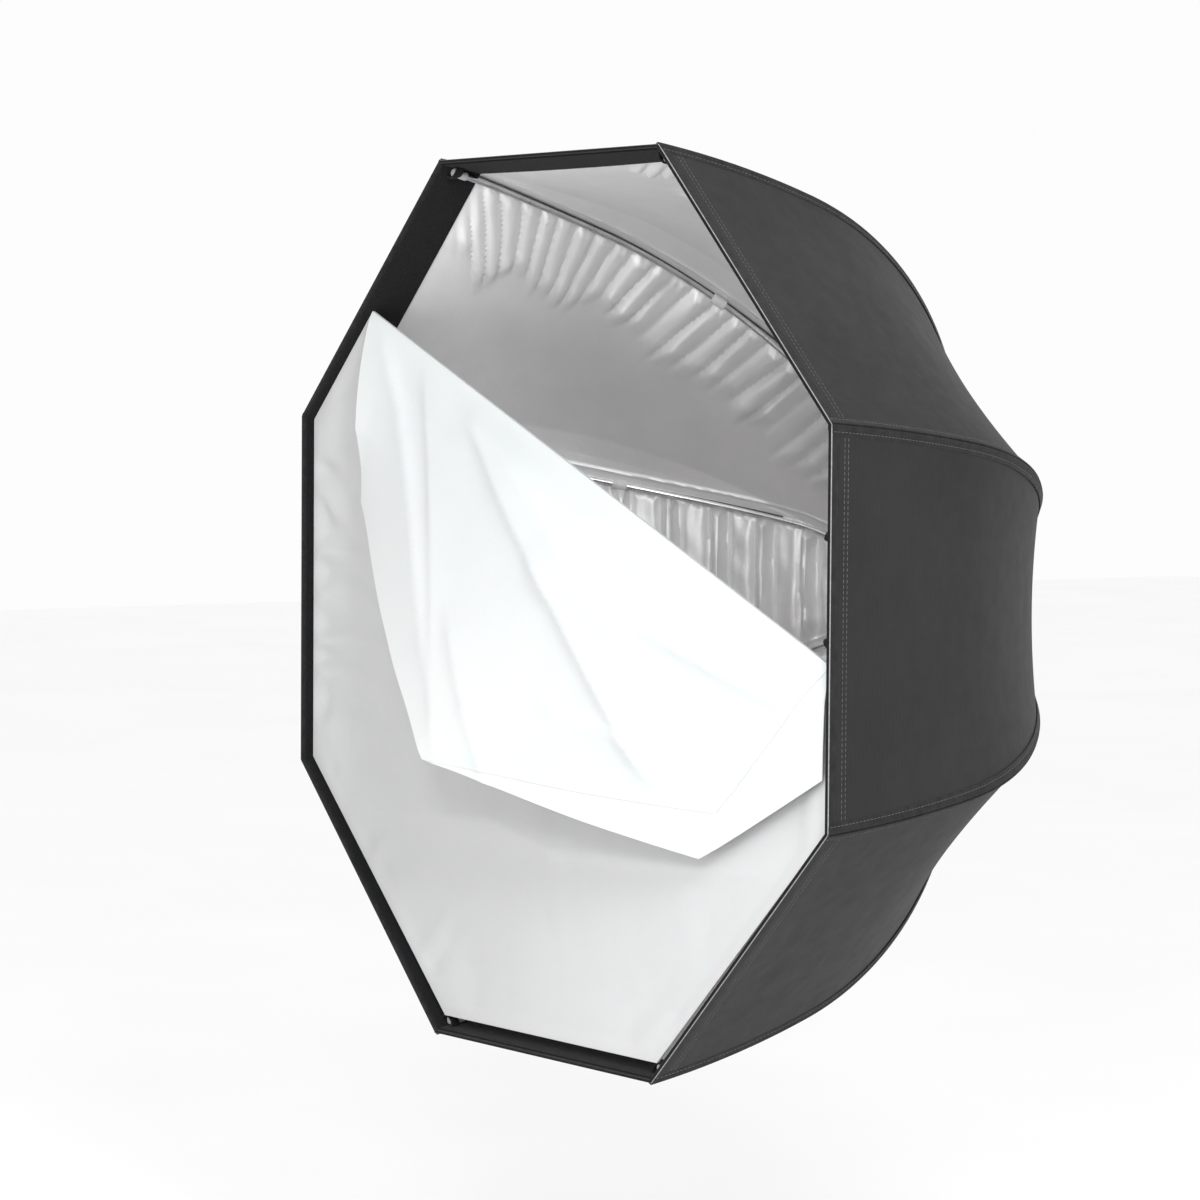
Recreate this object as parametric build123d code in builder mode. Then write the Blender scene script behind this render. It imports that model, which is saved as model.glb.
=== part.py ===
from build123d import *
from math import cos, pi, radians, sin, tan
import os

os.makedirs("parts", exist_ok=True)

# Octabox: an eight-sided softbox on a speed ring, in millimetres.
# Origin: centre of the bayonet insert's rear face. +Y points out of the back, into the light.
# The open front faces -Y, and +Z is up.

# Driving dimensions
RIBS = 8
RIM_R = 400.0          # corner radius of the front rim
HALF = 180.0 / RIBS    # half of one gore's angle, degrees
FLAT = cos(radians(HALF))
RIB_LEAN = 8.5         # angle of the rib to the axis at the rim, degrees
RIB_ARCS = [(1100.0, 9.0), (365.0, 41.5)]   # radius and turn of the bow, from the rim inwards
COVER_LAST_ARC = (410.0, 14.3)
ROD_LAST_ARC = (410.0, 11.0)

CLOTH = 1.6            # cover thickness
SEAM_GAP = 0.3         # each cover half stops this far from its seam planes
ROD_R = 2.4
ROD_INSET = 8.5        # rod's centre line below the cover's outer seam, at its ends
ROD_SIDE = 20.0        # how far the rod bows sideways, off the seam, at its middle
ROD_DIP = 7.5          # how much deeper below the seam it lies there
ROD_FRONT = 14.0       # rod's front end behind the rim plane, along the rib
ROD_BENDS = (2, 8, 2)  # gentle bends that make up each arc of the rod's bow

HINGE_R = 93.5         # radius of the rod hinges
HINGE_Y = -34.0
PIN_R = 2.0
PIN_LENGTH = 18.0
RUNNING = 0.05         # radial running clearance
KNUCKLE_R = 4.4
SOCKET_R = 4.8
SOCKET_LENGTH = 36.0
SOCKET_DEPTH = 26.0    # how far the rod goes in
TIP_R = 3.6
TIP_LENGTH = 14.0
CLIP_R = 4.4
CLIP_LENGTH = 13.0

RING_R = 98.0
RING_REAR_Y = -10.0
RING_FRONT_Y = -22.0
LIP_R = 73.0
LIP_Y = -13.7
FLANGE_R = 82.0
FLANGE_REAR_Y = -14.0
FLANGE_FRONT_Y = -21.7
COLLAR_R = 72.0
BORE_R = 66.0
BAYONET_LUG_R = 75.5
BAYONET_LUG_LENGTH = 3.5
BAYONET_LUG_ANGLE = 28.0
PLATE_R = 88.0
PLATE_BORE_R = 67.0
PLATE_T = 3.0
LUG_T = 3.5
LUG_GAP = 10.4         # clear width between the two lugs of a rod hinge
LUG_DEPTH = 9.5
LUG_FRONT = 5.0        # lug height in front of its pin's axis
SCREW_CIRCLE_R = 85.2
SCREW_R = 1.5
SCREW_LENGTH = 8.0
SCREW_HEAD_R = 2.6
SCREW_HEAD_T = 2.0
SCREW_PHASE = 11.25
KNOB_Y = -16.0
KNOB_STEM_R = 3.0
KNOB_TIP_R = 82.6
KNOB_FOOT_R = 105.0
KNOB_TOP_R = 121.0
KNOB_HEAD_R = 7.6
KNOB_FLUTES = 10
BAND_IN_R = 98.3       # fabric band round the speed ring
BAND_T = 1.5
BAND_OUT_R = 112.0
BAND_FRONT_Y = -28.5
BAND_SLEEVE_Y = -20.5

SHEET_T = 1.2
SHEET_INSET = 11.0     # diffuser's edge inside the rim's flats
SHEET_DEPTH = 9.0      # diffuser's middle plane behind the rim plane
FOLD_ANGLE = -23.4     # slope of the diffuser's fold line across the front, degrees
FOLD_OFFSET = 118.5    # fold line's distance from the axis
FLAP_TILT = 14.0       # folded flap stands this far off the lower sheet, degrees
FLAP_START = 6.5       # flap's bare strip at the fold
SHEET_GAP = 0.5


def arc_chain(inset, arcs):
    """Breakpoints and middle points (radius, depth) of the rib line, moved inwards by inset."""
    angle = radians(RIB_LEAN)
    start = (RIM_R - inset * cos(angle), -inset * sin(angle))
    points = [start]
    for radius, turn in arcs:
        bend = radius - inset
        centre = (start[0] - bend * cos(angle), start[1] - bend * sin(angle))
        for share in (0.5, 1.0):
            reach = angle + radians(turn) * share
            points.append((centre[0] + bend * cos(reach), centre[1] + bend * sin(reach)))
        angle = reach
        start = points[-1]
    return points, angle


rod_points, rod_angle = arc_chain(ROD_INSET, RIB_ARCS + [ROD_LAST_ARC])
straight = (rod_points[-1][0] - HINGE_R) / sin(rod_angle)
HINGE_DEPTH = rod_points[-1][1] + straight * cos(rod_angle)
RIM_Y = HINGE_Y - HINGE_DEPTH
print("rim plane at", round(RIM_Y, 3), "straight rod length", round(straight, 2))


def rib_angle(index):
    return HALF + 2 * HALF * index


def half_plane(angle):
    """Plane through the axis at an angle about it: local x is outwards and local y is +Y."""
    out = Vector(cos(radians(angle)), 0, sin(radians(angle)))
    side = Vector(-sin(radians(angle)), 0, cos(radians(angle)))
    return Plane(origin=(0, 0, 0), x_dir=out, z_dir=side)


def side_plane(angle, y):
    """Plane across the axis, facing the front: local x is outwards at the angle."""
    out = Vector(cos(radians(angle)), 0, sin(radians(angle)))
    return Plane(origin=(0, y, 0), x_dir=out, z_dir=(0, -1, 0))


def save(part, name):
    part.label = name
    export_step(part, f"parts/{name}.step")


def section(points):
    """Rib points as (outward, y) points of a gore's middle plane."""
    return [(r * FLAT, RIM_Y + depth) for r, depth in points]


outer_line = section(arc_chain(0, RIB_ARCS + [COVER_LAST_ARC])[0])
inner_line = section(arc_chain(CLOTH, RIB_ARCS + [COVER_LAST_ARC])[0])


def cover_half(middle, side):
    """Half of one gore, from its middle plane to its rib on one side (+1 or -1)."""
    with BuildPart() as half:
        with BuildSketch(half_plane(middle)):
            with BuildLine():
                for first in (0, 2, 4):
                    ThreePointArc(*outer_line[first:first + 3])
                    ThreePointArc(*inner_line[first:first + 3])
                Line(outer_line[0], inner_line[0])
                Line(outer_line[-1], inner_line[-1])
            make_face()
        extrude(amount=side * RIM_R * sin(radians(HALF)))
        far = RIM_R * 1.5
        slope = tan(radians(HALF))
        with BuildSketch(side_plane(middle, RIM_Y - CLOTH)):
            with BuildLine():
                Polyline(
                    (2 * SEAM_GAP / slope, side * SEAM_GAP),
                    (far, side * SEAM_GAP),
                    (far, side * (far * slope - SEAM_GAP / FLAT)),
                    close=True,
                )
            make_face()
        extrude(amount=RIM_Y, mode=Mode.INTERSECT)
    return half.part


# Places and directions round the axis
def on_ring(angle, r, y):
    return Vector(r * cos(radians(angle)), y, r * sin(radians(angle)))


def tangent(angle):
    return Vector(-sin(radians(angle)), 0, cos(radians(angle)))


def rod_direction(angle):
    """From a rod's hinge outwards along the rod's straight end."""
    out = sin(rod_angle)
    return Vector(out * cos(radians(angle)), -cos(rod_angle), out * sin(radians(angle)))


def bow_corners():
    """Corners (radius, depth, heading, way along) of the runs that the rod's bow rounds off."""
    heading = radians(RIB_LEAN) + ROD_FRONT / (RIB_ARCS[0][0] - ROD_INSET)
    r = rod_points[0][0] - ROD_FRONT * sin(radians(RIB_LEAN))
    depth = rod_points[0][1] + ROD_FRONT * cos(radians(RIB_LEAN))
    along = 0.0
    corners = [(r, depth, heading, along)]
    end = radians(RIB_LEAN)
    for (radius, turn), bends in zip(RIB_ARCS + [ROD_LAST_ARC], ROD_BENDS):
        end += radians(turn)
        step = (end - heading) / bends
        reach = (radius - ROD_INSET) * tan(step / 2)
        for _ in range(bends):
            r, depth = r - reach * sin(heading), depth + reach * cos(heading)
            along += reach
            corners.append((r, depth, heading + step / 2, along))
            heading += step
            r, depth = r - reach * sin(heading), depth + reach * cos(heading)
            along += reach
    return corners


def rod_path(angle):
    """Rod's centre line from its front end into its socket, bowed outwards and to one side."""
    corners = bow_corners()
    points = []
    for r, depth, heading, along in corners:
        bow = sin(pi * along / corners[-1][3])
        r, depth = r - ROD_DIP * bow * cos(heading), depth - ROD_DIP * bow * sin(heading)
        points.append(on_ring(angle, r, RIM_Y + depth) + tangent(angle) * (ROD_SIDE * bow))
    inner_end = SOCKET_LENGTH - SOCKET_DEPTH
    points.append(on_ring(angle, HINGE_R, HINGE_Y) + rod_direction(angle) * inner_end)
    radii = []
    for before, here, after in zip(points, points[1:], points[2:]):
        run = min((here - before).length, (after - here).length)
        turn = radians((here - before).get_angle(after - here))
        radii.append(0.45 * run / tan(turn / 2))
    with BuildLine() as line:
        FilletPolyline(*points, radius=radii)
    return line.line


# Speed ring: housing with eight pairs of hinge lugs
with BuildPart() as ring_housing:
    with BuildSketch(Plane.XY):
        with BuildLine():
            Polyline(
                (LIP_R, RING_REAR_Y),
                (RING_R, RING_REAR_Y),
                (RING_R, RING_FRONT_Y),
                (FLANGE_R + 0.08, RING_FRONT_Y),
                (FLANGE_R + 0.08, LIP_Y),
                (LIP_R, LIP_Y),
                close=True,
            )
        make_face()
    revolve(axis=Axis.Y)
    chamfer(ring_housing.edges().filter_by(GeomType.CIRCLE).sort_by(SortBy.RADIUS)[-2:], 1.2)
    lug_x = RING_R - LUG_DEPTH / 2
    lug_front = HINGE_Y - LUG_FRONT
    for index in range(RIBS):
        with BuildSketch(side_plane(rib_angle(index), RING_FRONT_Y)):
            for side in (1, -1):
                with Locations((lug_x, side * (LUG_GAP + LUG_T) / 2)):
                    Rectangle(LUG_DEPTH - 0.3, LUG_T)
        extrude(amount=RING_FRONT_Y - lug_front)
    for index in range(RIBS):
        angle = rib_angle(index)
        pin_plane = Plane(origin=on_ring(angle, HINGE_R, HINGE_Y), z_dir=tangent(angle))
        with BuildSketch(pin_plane):
            Circle(PIN_R + RUNNING)
        extrude(amount=PIN_LENGTH / 2, both=True, mode=Mode.SUBTRACT)
        screw_at = on_ring(angle - SCREW_PHASE, SCREW_CIRCLE_R, RING_FRONT_Y)
        with BuildSketch(Plane(origin=screw_at, z_dir=(0, 1, 0))):
            Circle(SCREW_R + RUNNING)
        extrude(amount=SCREW_LENGTH - PLATE_T + 0.5, mode=Mode.SUBTRACT)
    with BuildSketch(Plane(origin=(0, KNOB_Y, -RING_R - 1), z_dir=(0, 0, 1))):
        Circle(KNOB_STEM_R + RUNNING)
    extrude(amount=RING_R - FLANGE_R + 2, mode=Mode.SUBTRACT)
save(ring_housing.part, "ring_housing")

# Front plate that traps the turning insert
with BuildPart() as ring_plate:
    with BuildSketch(Plane(origin=(0, RING_FRONT_Y, 0), z_dir=(0, -1, 0))):
        Circle(PLATE_R)
        Circle(PLATE_BORE_R, mode=Mode.SUBTRACT)
        with PolarLocations(SCREW_CIRCLE_R, RIBS, start_angle=SCREW_PHASE):
            Circle(SCREW_R + 0.1, mode=Mode.SUBTRACT)
    extrude(amount=PLATE_T)
save(ring_plate.part, "ring_plate")

with BuildPart() as ring_screws:
    for index in range(RIBS):
        seat = on_ring(rib_angle(index) - SCREW_PHASE, SCREW_CIRCLE_R, RING_FRONT_Y - PLATE_T)
        with BuildSketch(Plane(origin=seat, z_dir=(0, 1, 0))):
            Circle(SCREW_R)
        extrude(amount=SCREW_LENGTH)
        with BuildSketch(Plane(origin=seat, z_dir=(0, -1, 0))):
            Circle(SCREW_HEAD_R)
        extrude(amount=SCREW_HEAD_T)
save(ring_screws.part, "ring_screws")

with BuildPart() as hinge_pins:
    for index in range(RIBS):
        angle = rib_angle(index)
        with BuildSketch(Plane(origin=on_ring(angle, HINGE_R, HINGE_Y), z_dir=tangent(angle))):
            Circle(PIN_R)
        extrude(amount=PIN_LENGTH / 2, both=True)
save(hinge_pins.part, "hinge_pins")

# Bayonet insert, which the light holds: flange, collar and three lugs
with BuildPart() as bayonet_insert:
    with BuildSketch(Plane.XY):
        with BuildLine():
            Polyline(
                (BORE_R, FLANGE_FRONT_Y),
                (FLANGE_R, FLANGE_FRONT_Y),
                (FLANGE_R, FLANGE_REAR_Y),
                (COLLAR_R, FLANGE_REAR_Y),
                (COLLAR_R, 0),
                (BORE_R, 0),
                close=True,
            )
        make_face()
    revolve(axis=Axis.Y)
    for index in range(3):
        with BuildSketch(side_plane(90 + 120 * index - BAYONET_LUG_ANGLE / 2, 0)):
            with BuildLine():
                inner = CenterArc((0, 0), COLLAR_R - 1, 0, BAYONET_LUG_ANGLE)
                outer = CenterArc((0, 0), BAYONET_LUG_R, 0, BAYONET_LUG_ANGLE)
                Line(inner @ 0, outer @ 0)
                Line(inner @ 1, outer @ 1)
            make_face()
        extrude(amount=BAYONET_LUG_LENGTH)
save(bayonet_insert.part, "bayonet_insert")

# Screw knob that clamps the insert against turning
with BuildPart() as lock_knob:
    with BuildSketch(Plane(origin=(0, KNOB_Y, -KNOB_TIP_R), z_dir=(0, 0, -1))):
        Circle(KNOB_STEM_R)
    extrude(amount=KNOB_FOOT_R - KNOB_TIP_R)
    with BuildSketch(Plane(origin=(0, KNOB_Y, -KNOB_FOOT_R), z_dir=(0, 0, -1))):
        Circle(KNOB_HEAD_R)
        with PolarLocations(KNOB_HEAD_R + 0.6, KNOB_FLUTES):
            Circle(1.3, mode=Mode.SUBTRACT)
    extrude(amount=KNOB_TOP_R - KNOB_FOOT_R)
    chamfer(lock_knob.faces().sort_by(Axis.Z)[0].edges(), 0.8)
save(lock_knob.part, "lock_knob")

# Fabric band that joins the cover's back opening to the ring
with BuildPart() as back_band:
    with BuildSketch(Plane.XY):
        with BuildLine():
            Polyline(
                (BAND_IN_R, BAND_SLEEVE_Y),
                (BAND_IN_R, BAND_FRONT_Y),
                (BAND_OUT_R, BAND_FRONT_Y),
                (BAND_OUT_R, BAND_FRONT_Y + BAND_T),
                (BAND_IN_R + BAND_T, BAND_FRONT_Y + BAND_T),
                (BAND_IN_R + BAND_T, BAND_SLEEVE_Y),
                close=True,
            )
        make_face()
    revolve(axis=Axis.Y)
save(back_band.part, "back_band")

for index in range(RIBS):
    number = index + 1
    angle = rib_angle(index)
    hinge = on_ring(angle, HINGE_R, HINGE_Y)
    along = rod_direction(angle)

    # Rod socket: a tube with a hinge knuckle at its inner end
    with BuildPart() as rod_socket:
        with BuildSketch(Plane(origin=hinge, z_dir=tangent(angle))):
            Circle(KNUCKLE_R)
        extrude(amount=LUG_GAP / 2 - 0.2, both=True)
        with BuildSketch(Plane(origin=hinge, z_dir=along)):
            Circle(SOCKET_R)
        extrude(amount=SOCKET_LENGTH)
        with BuildSketch(Plane(origin=hinge, z_dir=tangent(angle))):
            Circle(PIN_R + RUNNING)
        extrude(amount=LUG_GAP, both=True, mode=Mode.SUBTRACT)
        with BuildSketch(Plane(origin=hinge + along * SOCKET_LENGTH, z_dir=along * -1)):
            Circle(ROD_R + RUNNING)
        extrude(amount=SOCKET_DEPTH + 0.5, mode=Mode.SUBTRACT)
    save(rod_socket.part, f"rod_socket_{number}")

    # Bowed rod
    path = rod_path(angle)
    with BuildPart() as rod:
        with BuildSketch(Plane(origin=path @ 0, z_dir=path % 0)):
            Circle(ROD_R)
        sweep(path=path)
    save(rod.part, f"rod_{number}")

    # Rubber tip over the rod's front end, blind at its front
    front = path @ 0
    heading = path % 0
    with BuildPart() as rod_tip:
        with BuildSketch(Plane(origin=front - heading * 1.5, z_dir=heading)):
            Circle(TIP_R)
        extrude(amount=TIP_LENGTH)
        with BuildSketch(Plane(origin=front, z_dir=heading)):
            Circle(ROD_R + 2 * RUNNING)
        extrude(amount=TIP_LENGTH, mode=Mode.SUBTRACT)
        chamfer(rod_tip.edges().filter_by(GeomType.CIRCLE).sort_by(Axis.Y)[0], 0.8)
    save(rod_tip.part, f"rod_tip_{number}")

    # White clip round the rod where the bow is tightest
    middle_of_bow = path @ 0.56
    bow_heading = path % 0.56
    with BuildPart() as rod_clip:
        with BuildSketch(Plane(origin=middle_of_bow, z_dir=bow_heading)):
            Circle(CLIP_R)
            Circle(ROD_R + 0.12, mode=Mode.SUBTRACT)
        extrude(amount=CLIP_LENGTH / 2, both=True)
    save(rod_clip.part, f"rod_clip_{number}")

    # The two cover halves that belong to this rod
    save(cover_half(angle + HALF, -1), f"cover_{number}_left")
    save(cover_half(angle - HALF, 1), f"cover_{number}_right")


# Diffuser: the lower sheet stays on the rim and the upper part is folded down over it
fold_along = Vector(cos(radians(FOLD_ANGLE)), 0, sin(radians(FOLD_ANGLE)))
fold_up = Vector(-sin(radians(FOLD_ANGLE)), 0, cos(radians(FOLD_ANGLE)))
fold_origin = fold_up * FOLD_OFFSET + Vector(0, RIM_Y + SHEET_DEPTH, 0)
SHEET_R = RIM_R - SHEET_INSET / FLAT


def sheet_part(sheet_plane, middle_of_cut):
    """The rim's octagon on one side of the fold line; local x runs along the fold, y upwards."""
    with BuildPart() as sheet:
        with BuildSketch(sheet_plane):
            with Locations((0, -FOLD_OFFSET)):
                RegularPolygon(SHEET_R, RIBS, rotation=HALF - FOLD_ANGLE)
            with Locations((0, middle_of_cut)):
                Rectangle(3 * RIM_R, 2 * RIM_R, mode=Mode.INTERSECT)
        extrude(amount=SHEET_T / 2, both=True)
    return sheet.part


lower_plane = Plane(origin=fold_origin, x_dir=fold_along, z_dir=(0, -1, 0))
diffuser = sheet_part(lower_plane, -RIM_R - SHEET_GAP)
save(diffuser, "diffuser")

tilt = radians(180 - FLAP_TILT)
flap_up = fold_up * cos(tilt) + Vector(0, -1, 0) * sin(tilt)
flap_normal = fold_along.cross(flap_up)
flap_plane = Plane(origin=fold_origin, x_dir=fold_along, z_dir=flap_normal)
diffuser_flap = sheet_part(flap_plane, RIM_R + FLAP_START)
save(diffuser_flap, "diffuser_flap")
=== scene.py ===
import math

import bmesh
import bpy
import numpy as np
from mathutils import Matrix, Vector, noise

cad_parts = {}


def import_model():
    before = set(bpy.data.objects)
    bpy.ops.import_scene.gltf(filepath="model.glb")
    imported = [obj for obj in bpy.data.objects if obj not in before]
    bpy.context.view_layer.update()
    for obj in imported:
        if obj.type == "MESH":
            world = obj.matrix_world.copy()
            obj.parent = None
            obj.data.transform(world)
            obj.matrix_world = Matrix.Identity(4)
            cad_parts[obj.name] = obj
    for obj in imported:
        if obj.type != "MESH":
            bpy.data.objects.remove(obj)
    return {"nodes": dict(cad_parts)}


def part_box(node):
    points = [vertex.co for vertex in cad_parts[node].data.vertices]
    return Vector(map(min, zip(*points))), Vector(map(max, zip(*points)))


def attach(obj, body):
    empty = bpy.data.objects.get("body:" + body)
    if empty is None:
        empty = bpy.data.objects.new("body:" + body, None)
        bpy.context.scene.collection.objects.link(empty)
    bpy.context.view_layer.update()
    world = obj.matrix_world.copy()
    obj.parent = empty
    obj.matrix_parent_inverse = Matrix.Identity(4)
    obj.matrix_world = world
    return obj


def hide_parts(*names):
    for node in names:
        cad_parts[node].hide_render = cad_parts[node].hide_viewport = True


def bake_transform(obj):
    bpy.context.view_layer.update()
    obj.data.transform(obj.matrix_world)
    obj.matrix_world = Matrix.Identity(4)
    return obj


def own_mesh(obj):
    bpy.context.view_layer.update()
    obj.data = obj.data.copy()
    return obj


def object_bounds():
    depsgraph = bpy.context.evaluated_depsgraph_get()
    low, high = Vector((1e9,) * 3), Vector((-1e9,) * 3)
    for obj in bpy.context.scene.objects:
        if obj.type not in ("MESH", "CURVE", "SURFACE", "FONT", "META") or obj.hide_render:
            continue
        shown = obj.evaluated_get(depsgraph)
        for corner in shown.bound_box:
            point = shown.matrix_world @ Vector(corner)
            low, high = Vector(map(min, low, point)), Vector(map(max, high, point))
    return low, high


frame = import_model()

cad_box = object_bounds()

# ---------------------------------------------------------------------------
# Driving sizes, in metres and degrees. They repeat the CAD model's own.
# ---------------------------------------------------------------------------
RIBS = 8
HALF = math.radians(180 / RIBS)
RIM_R = 0.400
RIM_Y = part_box("cover_1_left")[0].y
RIB_LEAN = math.radians(8.5)
RIB_ARCS = [(1.100, 9.0), (0.365, 41.5), (0.410, 14.3)]
CLOTH = 0.0016
ROD_FRONT = 0.014           # rod's front end, along the rib from the rim
ROD_REACH = 0.470           # from there to where the rod straightens for its socket
ROD_SIDE = 0.020            # the rod's sideways bow, off the rib
SHEET_INSET = 0.0075        # lower sheet's edge inside the rim
BOTTOM_INSET = 0.007        # the sheet's lower side is that much shorter
SHEET_Y = sum(c.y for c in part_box("diffuser")) / 2
FOLD_ANGLE = math.radians(-23.4)
FOLD_OFFSET = 0.1185
BAND_WIDTH = 0.041          # hook-and-loop band inside the rim
HEM_LINE = 0.016            # outer hem stitches behind the rim
GATHER_PITCH = 0.0215       # spacing of the lining's gathers along a rod
PUCKER_PITCH = 0.0078       # spacing of the fine puckers at a rod's seam
PLEAT_PITCH = 0.047         # spacing of the tall folds below the pleated rod
LOOP_PITCH = 0.0108         # spacing of the tucks at the pleated rod's seam
PLEATED_RIB = 4             # the rod that the tall folds hang from
STITCH_PITCH = 0.0042
CLOTH_GRID = 0.004          # face size of the diffuser's cloth
ACROSS = 64                 # faces across one cover half
ALONG = 220                 # faces along it


# ---------------------------------------------------------------------------
# Shape of the cover
# ---------------------------------------------------------------------------
def rib_line(inset=0.0, count=ALONG):
    """Points (radius, depth, angle) along a rib from the rim, equally spaced."""
    angle = RIB_LEAN
    r, d = RIM_R - inset * math.cos(angle), -inset * math.sin(angle)
    pieces = []
    for radius, turn in RIB_ARCS:
        bend, turn = radius - inset, math.radians(turn)
        centre = (r - bend * math.cos(angle), d - bend * math.sin(angle))
        pieces.append((bend, angle, turn, centre))
        angle += turn
        r, d = centre[0] + bend * math.cos(angle), centre[1] + bend * math.sin(angle)
    total = sum(bend * turn for bend, _, turn, _ in pieces)
    line = []
    for k in range(count + 1):
        s = total * k / count
        for bend, start, turn, centre in pieces:
            if s <= bend * turn + 1e-9:
                break
            s -= bend * turn
        a = start + min(s / bend, turn)
        line.append((centre[0] + bend * math.cos(a), centre[1] + bend * math.sin(a), a))
    return np.array(line), total


LINE, RIB_LENGTH = rib_line()


def rib_at(s):
    """Radius, depth and angle at arc length s from the rim."""
    k = np.clip(np.asarray(s, float) / RIB_LENGTH * ALONG, 0, ALONG)
    return np.stack([np.interp(k, np.arange(ALONG + 1), LINE[:, c]) for c in range(3)], -1)


def out_of(angle):
    """Direction away from the axis at an angle."""
    return np.array([math.cos(angle), 0.0, math.sin(angle)])


def side_of(angle):
    """Direction round the axis at an angle, towards larger angles."""
    return np.array([-math.sin(angle), 0.0, math.cos(angle)])


AXIS = np.array([0.0, 1.0, 0.0])


def rib_angle(number):
    """Angle of rib 1 to 8 round the axis."""
    return HALF + 2 * HALF * (number - 1)


def smooth(x, low, high):
    """Eased step from 0 at low to 1 at high."""
    t = np.clip((np.asarray(x, float) - low) / (high - low), 0, 1)
    return t * t * (3 - 2 * t)


def gore_point(middle, side, s, x, inward):
    """Point of a gore: s along the rib, x from 0 at the rib to 1 at the middle, moved inward."""
    s, x, inward = np.broadcast_arrays(*(np.asarray(v, float) for v in (s, x, inward)))
    rib = rib_at(s)
    flat = rib[..., 0] * math.cos(HALF)
    lean = np.arctan2(math.cos(HALF) * np.sin(rib[..., 2]), np.cos(rib[..., 2]))
    out = flat - inward * np.cos(lean)
    across = side * (1 - x) * out * math.tan(HALF)
    depth = rib[..., 1] - inward * np.sin(lean)
    point = out[..., None] * out_of(middle) + across[..., None] * side_of(middle)
    return point + (RIM_Y + depth)[..., None] * AXIS


def sag(s, x):
    """How far tension pulls a panel inwards between its ribs."""
    place = s / RIB_LENGTH
    bow = 0.0015 + 0.0065 * np.exp(-((place - 0.58) / 0.22) ** 2)
    return bow * (1 - (1 - x) ** 2) * smooth(s, 0, 0.06) * (1 - smooth(place, 0.93, 1.0))


def wave_noise(a, b, seed):
    """Smooth noise of two coordinates, about -1 to 1."""
    flat = zip(np.ravel(a), np.ravel(b))
    values = [noise.noise((float(p), float(q), 7.31 * seed)) for p, q in flat]
    return np.array(values).reshape(np.shape(a))


def rod_seam(s):
    """How far off the rib, on its gathered side, the lining is sewn along the rod."""
    share = np.clip((s - ROD_FRONT) / ROD_REACH, 0, 1)
    return ROD_SIDE / math.cos(HALF) * np.sin(np.pi * share)


def web(s, q):
    """Height of the strip of lining that bridges the corner from the rib to the rod's seam."""
    return np.maximum(rod_seam(s) * 0.96 - q, 0) * math.sin(HALF)


def gathers(s, q, seed):
    """Relief of the lining beside a rod: slanting gathers that fade towards the middle."""
    slant = 0.9 - 1.2 * smooth(s, 0.0, 0.26)
    wander = 0.004 * wave_noise(s * 24, q * 12, seed)
    phase = (s - slant * q + wander) / GATHER_PITCH + 0.30 * wave_noise(s * 9, q * 3, seed + 3)
    ridge = 1 - np.exp(-(np.sin(np.pi * phase) / 0.55) ** 2)
    strength = np.clip(0.75 + 0.9 * wave_noise(s * 31, 2.0 + 0 * q, seed + 5), 0.15, 1.3)
    reach = 0.085 + 0.045 * wave_noise(s * 27, 5.0 + 0 * q, seed + 7)
    body = smooth(q, 0.000, 0.012) * (1 - smooth(q, reach * 0.72, reach * 1.12))
    tail = np.exp(-((q - reach * 0.84) / 0.012) ** 2)
    fine = (0.5 + 0.5 * np.cos(2 * np.pi * (s - 0.2 * q) / PUCKER_PITCH)) ** 2
    near = smooth(q, 0.0, 0.003) * (1 - smooth(q, 0.006, 0.030))
    soft = 0.0030 * (0.5 + 0.5 * wave_noise(s * 7, q * 8, seed + 9)) * smooth(q, 0.03, 0.12)
    folds = 0.0062 * ridge * strength * body * (1 + 0.35 * tail)
    return folds + 0.0010 * fine * near + soft


def curtain(s, q, seed):
    """Relief of the lining below the pleated rod: tall narrow folds between flat spans."""
    phase = (s + 0.0020 * wave_noise(s * 12, q * 25, seed)) / PLEAT_PITCH
    place = (phase - np.floor(phase) - 0.5) * PLEAT_PITCH
    wide = 0.0050 + 0.0013 * wave_noise(np.floor(phase) * 3.1, q * 16, seed + 2)
    fold = np.exp(-(place / wide) ** 4)
    flank = np.exp(-((np.abs(place) - 0.0095) / 0.0035) ** 2)
    crumple = 0.0016 * wave_noise(s * 75, q * 38, seed + 4)
    loops = np.exp(-((np.mod(s, LOOP_PITCH) - LOOP_PITCH / 2) / 0.0020) ** 2)
    loops = loops * (1 - smooth(q, 0.004, 0.011))
    hold = smooth(q, 0.0015, 0.010)
    tall = np.maximum(0.0100 * fold - 0.0034 * flank + 0.0036 + crumple, 0) * hold
    return tall * (1 - 0.6 * smooth(q, 0.16, 0.26)) + 0.0024 * loops * smooth(q, 0.0, 0.002)


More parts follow.
